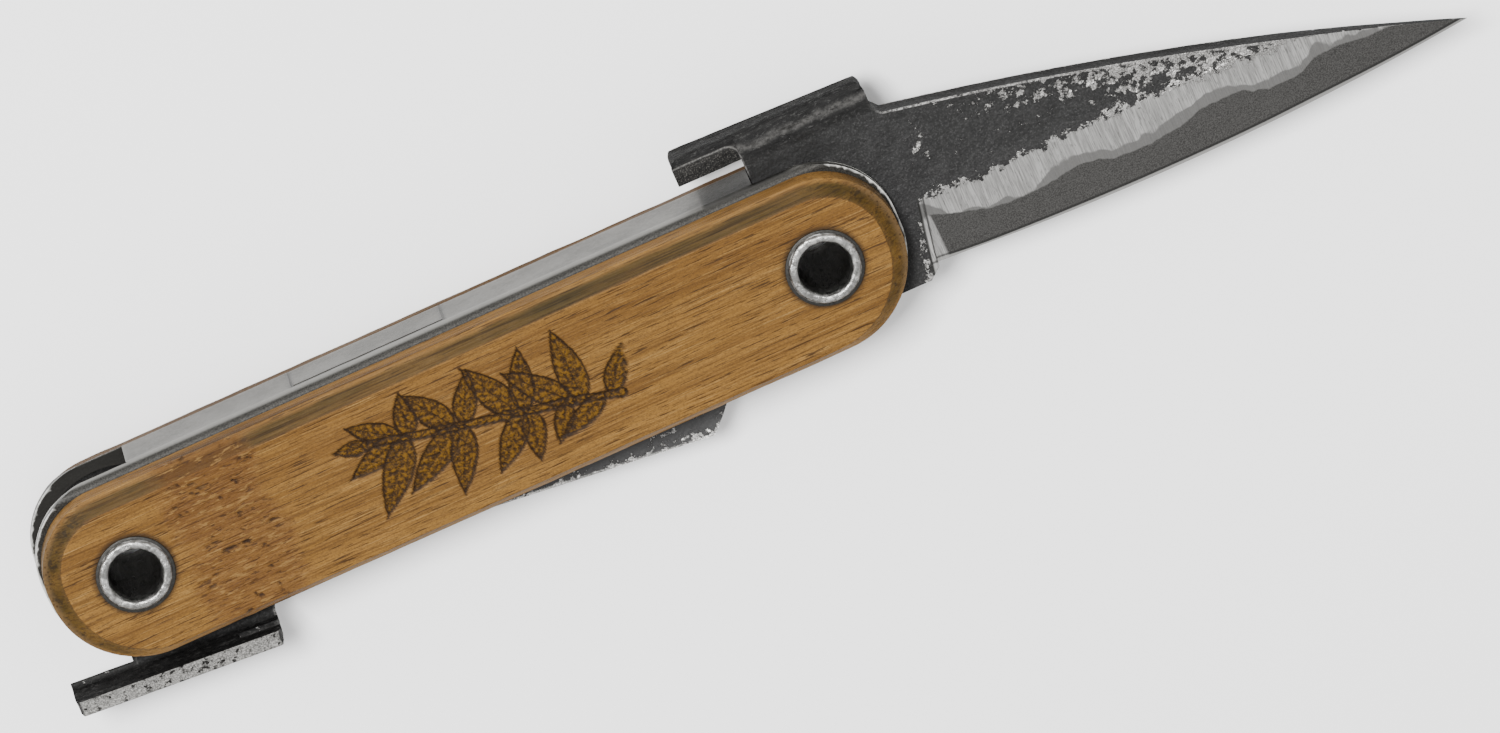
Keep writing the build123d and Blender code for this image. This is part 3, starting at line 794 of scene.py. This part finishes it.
def round_lever_ends(bm, rear, front, top):
    """Pull the vertices beyond the lever's two outer corners onto their rounding."""
    for v in bm.verts:
        for centre_x, outward in ((rear + LEVER_END_ROUNDING, -1), (front - LEVER_END_ROUNDING, 1)):
            offset = Vector((v.co.x - centre_x, v.co.y - top + LEVER_END_ROUNDING))
            if offset.x * outward > 0 and offset.y > 0 and offset.length > LEVER_END_ROUNDING:
                shrink = LEVER_END_ROUNDING / offset.length
                v.co.x = centre_x + offset.x * shrink
                v.co.y = top - LEVER_END_ROUNDING + offset.y * shrink


def forged_blade(node, material, own_frame, plunge, edge_top, spans, lever_ends, lever_top):
    """The CAD blade with eased and hammered surfaces and a slanted plunge."""
    bm = taken_from(node, own_frame)
    tree = points_along(sharp_edges(bm))
    plunge_x, plunge_y, slant = plunge
    rear, front = lever_ends
    ease_edges(bm, BLADE_EDGES, keep=lambda e: min(v.co.y for v in e.verts) < edge_top)
    along, up, across = spans
    near_ends = [rear + d for d in LEVER_END_CUTS] + [front - d for d in LEVER_END_CUTS]
    near_top = [lever_top - d for d in LEVER_END_CUTS]
    lattice(bm, 0, sorted([*every(BLADE_CUTS, *along), *near_ends]))
    lattice(bm, 1, sorted([*every(BLADE_CUTS, *up), *near_top]))
    lattice(bm, 2, every(BLADE_CUTS_ACROSS, *across))
    round_lever_ends(bm, rear, front, lever_top)
    for v in bm.verts:
        below = clamp((plunge_y - v.co.y) / (plunge_y - edge_top))
        beside = max(0.0, 1.0 - abs(v.co.x - plunge_x) / PLUNGE_REACH)
        v.co.x += below * beside * slant * (edge_top - plunge_y)
    wear = near(tree, bm, reach=0.55)

    def forged(v):
        """No dents in the bore's rim, in the ground bevel or near the cutting edge."""
        off_corner = min(1.0, CORNER_DENTS + tree.find(v.co)[2] / CORNER_REACH)
        off_rim = clamp((math.hypot(v.co.x, v.co.y) - RIM_KEPT) / DENTS_GROW)
        off_ground = clamp((v.co.y - plunge_y + 0.5) / DENTS_GROW)
        return off_corner * off_rim * off_ground

    hollow(bm, depth=0.16, size=2.6, seed=3.0, strength=forged)
    hollow(bm, depth=0.07, size=0.8, seed=8.0, strength=forged)
    piece(node, bm, material, {"wear": wear}, body=node, own_frame=own_frame)


main_look = ForgedLook(
    "main_blade_steel",
    None,
    spine_line=[(12, 12.1), (30, 8.3), (47, 3.5), (60, -0.6), (75, -5.9)],
    ground_line=[(12, 1.0), (19, 0.7), (24, 0.7), (29, 0.85), (43, 0.9), (51, 0.3), (57, 0.3), (61, 1.5),
                 (75, 4)],
    core_line=[(12.5, -0.9), (18, -2.9), (22, -3.7), (26, -3.5), (30, -3.0), (35, -4.1), (41, -3.8),
               (45, -2.7), (48.5, -2.6), (50.5, -3.5), (55, -3.8), (59, -2.4), (64, -2.9), (68, -3.0),
               (75, -3.4)],
    edge_line=[(12, -6.8), (26, -7.7), (40, -7.9), (57, -7.35), (75, -5.88)],
    plunge=(12.1, 1.0, 0.18),
    lever=(12.6, 3.5, -3.45, 15.0),
    worn_from=12.0,
    spine_wear=0.11,
    wear_reach=5.6,
    thin_scale_and_light=0.0,
)
forged_blade(
    "main_blade",
    main_look.made(),
    None,
    plunge=(12.6, 1.0, 0.18),
    edge_top=-5.2,
    spans=((-11, 75), (-9.5, 16), (-3.6, 2.8)),
    lever_ends=(-10.9, 11.6),
    lever_top=15.9,
)
detail_look = ForgedLook(
    "detail_blade_steel",
    detail_frame,
    spine_line=[(12, 8.7), (64, 10.6), (75, 10.6)],
    ground_line=[(12, 1.5), (40, 1.3), (71, 1.4)],
    core_line=[(12.5, -1.2), (24, -2.4), (38, -1.9), (52, -2.8), (71, -2.2)],
    edge_line=[(12, -6.0), (71, -4.6)],
    plunge=(12.1, 1.5, 0.15),
    lever=(12.0, 3.7, -3.45, 14.2),
    worn_from=18.0,
    spine_wear=0.075,
    wear_reach=1.7,
    # the detail blade's spine strip is partly thin scale, partly painted light
    thin_scale_and_light=0.62,
)
forged_blade(
    "detail_blade",
    detail_look.made(),
    detail_frame,
    plunge=(12.6, 1.5, 0.15),
    edge_top=-4.2,
    spans=((-11.2, 71), (-9.5, 15.2), (-3.8, 2.7)),
    lever_ends=(-11.1, 12.6),
    lever_top=15.1,
)


# ---------- bamboo scales
SCAR_MIDDLE, SCAR_REACH = -70.0, 5.6  # node scar across the front scale

# cuts of the scales along x and y: a start, then (spacing, end) of each band
DECORATED_CUTS = (
    (-92, (0.4, -77.5), (0.28, -62.5), (0.4, -56.5), (0.17, -24.5), (0.4, 10)),
    (-10, (0.4, -7.2), (0.18, 7.0), (0.4, 10)),
)
PLAIN_CUTS = ((-92, (0.6, 10)), (-10, (0.5, 10)))

# the engraving: a bamboo sprig, as (x, y, direction in degrees, length, half width) of each leaf
CULM = [(-25.6, -3.7), (-31.0, -2.3), (-38.0, -0.8), (-45.0, 0.7), (-53.0, 2.6)]
CULM_HALF_WIDTH = 0.42
LEAVES = [
    (-26.6, -3.4, 58, 5.6, 1.15), (-27.4, -3.2, 203, 6.4, 1.1), (-29.6, -2.7, 92, 8.6, 1.55),
    (-30.8, -2.4, 133, 8.4, 1.45), (-31.4, -2.2, 238, 4.6, 1.05), (-36.0, -1.2, 74, 7.2, 1.35),
    (-36.8, -1.0, 117, 8.0, 1.55), (-36.2, -1.2, 228, 7.0, 1.4), (-35.4, -1.3, 259, 5.8, 1.2),
    (-42.6, 0.3, 64, 6.0, 1.25), (-43.6, 0.5, 124, 6.8, 1.45), (-43.4, 0.4, 214, 8.6, 1.5),
    (-42.6, 0.2, 248, 7.6, 1.4), (-48.4, 1.6, 82, 5.0, 1.2), (-49.4, 1.9, 146, 6.0, 1.2),
    (-49.4, 1.8, 197, 6.8, 1.3), (-48.8, 1.6, 234, 9.0, 1.6), (-53.0, 2.6, 170, 3.6, 0.85),
]
VEINS_ALONG = 7  # side veins along a leaf
LINE_WIDTH = 0.2
BURNT_DEPTH, LINE_DEPTH = 0.24, 0.1
PIT_DEPTH, SCAR_DEPTH = 0.26, 0.16


def burnt_shape(gap):
    """Shares of burn and of outline at a distance outside a shape's border."""
    return 1.0 - soft(gap, -0.08, 0.06), 1.0 - soft(abs(gap), 0.4 * LINE_WIDTH, LINE_WIDTH)


def leaf_shares(x, y, leaf):
    leaf_x, leaf_y, direction, length, half_width = leaf
    angle = math.radians(direction)
    along = ((x - leaf_x) * math.cos(angle) + (y - leaf_y) * math.sin(angle)) / length
    if not -0.05 < along < 1.05:
        return 0.0, 0.0
    aside = -(x - leaf_x) * math.sin(angle) + (y - leaf_y) * math.cos(angle)
    swell = math.sin(math.pi * clamp(along) ** 0.72) ** 0.85
    gap = abs(aside) - half_width * swell
    burn, outline = burnt_shape(gap)
    if 0.05 < along < 0.9 and gap < 0:
        midrib = 0.9 * (1.0 - soft(abs(aside), 0.03, 0.6 * LINE_WIDTH))
        between = ((along * length - 0.9 * abs(aside)) * VEINS_ALONG / length) % 1.0
        vein = 0.6 * (1.0 - soft(min(between, 1 - between), 0.05, 0.2))
        outline = max(outline, midrib, vein)
    return burn, outline


def culm_shares(x, y, start, end):
    (x0, y0), (x1, y1) = start, end
    dx, dy = x1 - x0, y1 - y0
    share = clamp(((x - x0) * dx + (y - y0) * dy) / (dx * dx + dy * dy))
    swell = 1.0 + 0.35 * max(0.0, 1.0 - min(share, 1 - share) / 0.05)
    return burnt_shape(math.hypot(x - x0 - share * dx, y - y0 - share * dy) - CULM_HALF_WIDTH * swell)


def engraving(x, y):
    """How burnt a point of the show face is and how much it lies on an engraved outline."""
    found = [leaf_shares(x, y, leaf) for leaf in LEAVES]
    found += [culm_shares(x, y, start, end) for start, end in zip(CULM, CULM[1:])]
    return max(burn for burn, _ in found), max(outline for _, outline in found)


def bamboo_scale(node, side, material, decorated):
    """A scale with worn edges; the decorated one is cut finely at its node scar and engraving."""
    bm = taken_from(node)
    tree = points_along(sharp_edges(bm))
    ease_edges(bm, width=0.12)
    for axis, bands in enumerate(DECORATED_CUTS if decorated else PLAIN_CUTS):
        bm.normal_update()
        lattice(bm, axis, banded(*bands), lambda f: f.normal.z * side > 0.2)
    wear = near(tree, bm, reach=0.5)
    bevel = [1.0 - soft(v.co.z * side, SHOW_FACE - 0.1, SHOW_FACE - 0.01) for v in bm.verts]
    hollow(bm, depth=0.1, size=5.0, seed=2.0 + side)
    painted = {"wear": wear, "bevel": bevel, "burn": [], "outline": [], "scar": [], "pit": [], "joint_shade": []}
    for v in bm.verts:
        co = v.co.copy()
        showing = soft(co.z * side, SHOW_FACE - 0.3, SHOW_FACE - 0.16)
        from_pivot = min(math.hypot(co.x - x, co.y) for x in PIVOTS.values())
        burn = outline = scar = 0.0
        if decorated and showing > 0:
            burn, outline = engraving(co.x + 0.12 * (rough(co, 0.9, 5.0) - 0.5),
                                      co.y + 0.12 * (rough(co, 0.9, 6.0) - 0.5))
        if decorated:
            offset = abs(co.x - SCAR_MIDDLE + 3.0 * (rough(co, 3.0, 11.0) - 0.5))
            scar = 1.0 - soft(offset, SCAR_REACH - 1.6, SCAR_REACH + 1.4)
        drawn_out = Vector((co.x / 2.2, co.y, co.z))
        pit = scar * soft(rough(drawn_out, 0.62, 14.0), 0.76, 0.83) * soft(rough(co, 3.5, 31.0), 0.42, 0.6)
        outside = soft(co.z * side, 4.5, 6.0) * soft(from_pivot, 4.2, 4.8)
        pressed = showing * (BURNT_DEPTH * burn + LINE_DEPTH * outline)
        torn = PIT_DEPTH * pit + SCAR_DEPTH * scar * rough(drawn_out, 0.9, 20.0)
        v.co.z -= side * outside * (pressed + torn)
        painted["burn"].append(burn * showing)
        painted["outline"].append(outline * showing)
        painted["scar"].append(scar)
        painted["pit"].append(pit * outside)
        # painted shade on the wood round the washers
        painted["joint_shade"].append(1.0 - soft(from_pivot, 4.4, 5.0))
    piece(node, bm, material, painted)


bamboo = bamboo_look("bamboo")
bamboo_scale("front_scale", 1, bamboo, True)
bamboo_scale("back_scale", -1, bamboo, False)


# ---------- channel and divider
def sheet_piece(node, material, eased, cuts, reach):
    """Bent or blanked sheet, its edges eased and worn, dented a little at the spine and the ends."""
    bm = taken_from(node)
    convex = points_along(sharp_edges(bm))
    concave = points_along(sharp_edges(bm, convex=False))
    ease_edges(bm, eased)
    for axis, places in enumerate(cuts):
        lattice(bm, axis, places)
    # the second share is painted shade along inner corners
    painted = {"wear": near(convex, bm, reach), "joint_shade": near(concave, bm, reach=0.3)}
    hollow(bm, depth=0.03, size=1.5, seed=6.0,
           strength=lambda v: float(v.co.y > 9 or abs(v.co.x - HANDLE_MIDDLE) > 41))
    piece(node, bm, material, painted)


channel_cuts = (every(0.6, -92, 10), every(0.5, -10.4, 10.4), every(0.4, -WALL_FACE, WALL_FACE))
divider_cuts = (every(0.7, -91.2, 9.2), every(0.6, -9.3, 9.3), [-0.1])
sheet_piece("handle_channel", channel_look("channel_steel"), eased=0.1, cuts=channel_cuts, reach=0.26)
sheet_piece("divider_plate", divider_look("divider_steel"), eased=0.06, cuts=divider_cuts, reach=0.6)


# ---------- eyelets and rings
SEGMENTS = 128
LIP_RADIUS = 0.42
ARC_STEPS = 7
BORE_LEVELS = (0.0, 2.5, 4.2, 5.0, 5.4, 5.8, 6.2, 6.6, 7.0, 7.3)


def arc(centre_r, centre_z, start, end):
    angles = [math.radians(start + (end - start) * i / ARC_STEPS) for i in range(ARC_STEPS + 1)]
    return [(centre_r + LIP_RADIUS * math.cos(a), centre_z + LIP_RADIUS * math.sin(a)) for a in angles]


def turned(x, outline):
    """A closed (radius, z) outline turned round a pivot."""
    bm = bmesh.new()
    rings = []
    for i in range(SEGMENTS):
        a = 2 * math.pi * i / SEGMENTS
        rings.append([bm.verts.new((x + r * math.cos(a), r * math.sin(a), z)) for r, z in outline])
    for i, here in enumerate(rings):
        following = rings[(i + 1) % SEGMENTS]
        for j in range(len(outline)):
            k = (j + 1) % len(outline)
            bm.faces.new((here[j], following[j], following[k], here[k]))
    bmesh.ops.recalc_face_normals(bm, faces=bm.faces)
    return bm


def eyelet(pivot, x, material):
    """A rolled tube: the flange's cross-section turned round the pivot, then worn unevenly."""
    node = f"{pivot}_eyelet"
    low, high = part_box(node)
    flange_radius, top = (high.x - low.x) / 2 / MM, high.z / MM
    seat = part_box(f"{pivot}_front_washer")[1].z / MM
    shoulder = top - LIP_RADIUS
    half = [(BORE_RADIUS, z) for z in BORE_LEVELS]
    half += arc(BORE_RADIUS + LIP_RADIUS, shoulder, 180, 90)
    half += arc(flange_radius - LIP_RADIUS, shoulder, 90, 0)
    half += [(flange_radius, seat), (TUBE_RADIUS, seat), (TUBE_RADIUS, 0.0)]
    lower = [(r, -z) for r, z in reversed(half[1:-1])]
    bm = turned(x, half + lower)

    def rim(v):
        return soft(abs(v.co.z), seat - 0.1, seat + 0.2)

    hollow(bm, depth=0.16, size=1.6, seed=x, strength=rim)
    hollow(bm, depth=0.08, size=0.5, seed=x + 5.0, strength=rim)
    bore, joint_shade = [], []
    for v in bm.verts:
        r = math.hypot(v.co.x - x, v.co.y)
        inside = 1.0 - soft(r, BORE_RADIUS + 0.05, BORE_RADIUS + 0.3)
        # grows with depth into the bore: tarnish with painted shade
        bore.append(inside * soft(top - abs(v.co.z), 0.3, 3.0))
        # painted shade at the flange's edge on the wood
        on_wood = 1.0 - soft(abs(v.co.z), seat + 0.1, seat + 0.35)
        joint_shade.append(on_wood * soft(r, flange_radius - 0.12, flange_radius))
    piece(node, bm, material, {"bore": bore, "joint_shade": joint_shade})


def ring_piece(node, material):
    bm = taken_from(node)
    tree = points_along(sharp_edges(bm))
    ease_edges(bm, width=0.05)
    piece(node, bm, material, {"wear": near(tree, bm, reach=0.3)})


eyelet_steel = eyelet_look("eyelet_steel")
washer_steel = washer_look("washer_steel")
for pivot, x in PIVOTS.items():
    eyelet(pivot, x, eyelet_steel)
    for part in ("front_washer", "back_washer", "pivot_spacer"):
        ring_piece(f"{pivot}_{part}", washer_steel)


# ---------- floor, light and camera
FLOOR_HALF_WIDTH = 2.0  # metres, like every length below
FLOOR_GAP = 0.05 * MM
FLOOR_WHITE = (0.93, 0.93, 0.93)
WORLD_WHITE = (1.0, 1.0, 1.0, 1.0)
WORLD_STRENGTH = 1.05
AIM = Vector((-11.84, -9.58, 0.0)) * MM

floor_level = cad_box[0].z - FLOOR_GAP
bpy.ops.mesh.primitive_plane_add(size=2 * FLOOR_HALF_WIDTH, location=(0, 0, floor_level))
floor = bpy.context.active_object
floor.name = "floor"
paper = Look("pale_floor")
floor.data.materials.append(paper.finish(Base_Color=FLOOR_WHITE, Roughness=0.9, Specular_IOR_Level=0.1))

world = bpy.data.worlds.new("studio")
bpy.context.scene.world = world
world.use_nodes = True
background = world.node_tree.nodes["Background"]
background.inputs["Color"].default_value = WORLD_WHITE
background.inputs["Strength"].default_value = WORLD_STRENGTH


def softbox(name, direction, distance, size, power):
    """A square lamp that faces the knife."""
    light = bpy.data.lights.new(name, "AREA")
    light.shape = "RECTANGLE"
    light.size = size
    light.size_y = size
    light.energy = power
    lamp = bpy.data.objects.new(name, light)
    lamp.location = AIM + Vector(direction).normalized() * distance
    lamp.rotation_euler = (AIM - lamp.location).to_track_quat("-Z", "Y").to_euler()
    bpy.context.scene.collection.objects.link(lamp)


softbox("key", direction=(-0.45, 0.9, 1.9), distance=1.4, size=0.36, power=45.0)

# the camera looks down from a little beyond the spine, turned so that the handle rises to the right
CAMERA_DISTANCE = 1.5
CAMERA_TILT = math.radians(20.26)  # from +Z towards +Y
CAMERA_ROLL = math.radians(23.97)
CAMERA_SIDEWAYS = 0.0089  # lean towards +X
LENS, SENSOR = 330.7, 36.0
back = Vector((CAMERA_SIDEWAYS, math.sin(CAMERA_TILT), math.cos(CAMERA_TILT))).normalized()
level_right = (Vector((1, 0, 0)) - back * back.x).normalized()
level_up = back.cross(level_right)
right = level_right * math.cos(CAMERA_ROLL) - level_up * math.sin(CAMERA_ROLL)
up = back.cross(right)
camera_data = bpy.data.cameras.new("camera")
camera_data.lens, camera_data.sensor_width = LENS, SENSOR
camera = bpy.data.objects.new("camera", camera_data)
rows = [(right[i], up[i], back[i], AIM[i] + back[i] * CAMERA_DISTANCE) for i in range(3)]
camera.matrix_world = Matrix((*rows, (0, 0, 0, 1)))
bpy.context.scene.collection.objects.link(camera)
bpy.context.scene.camera = camera
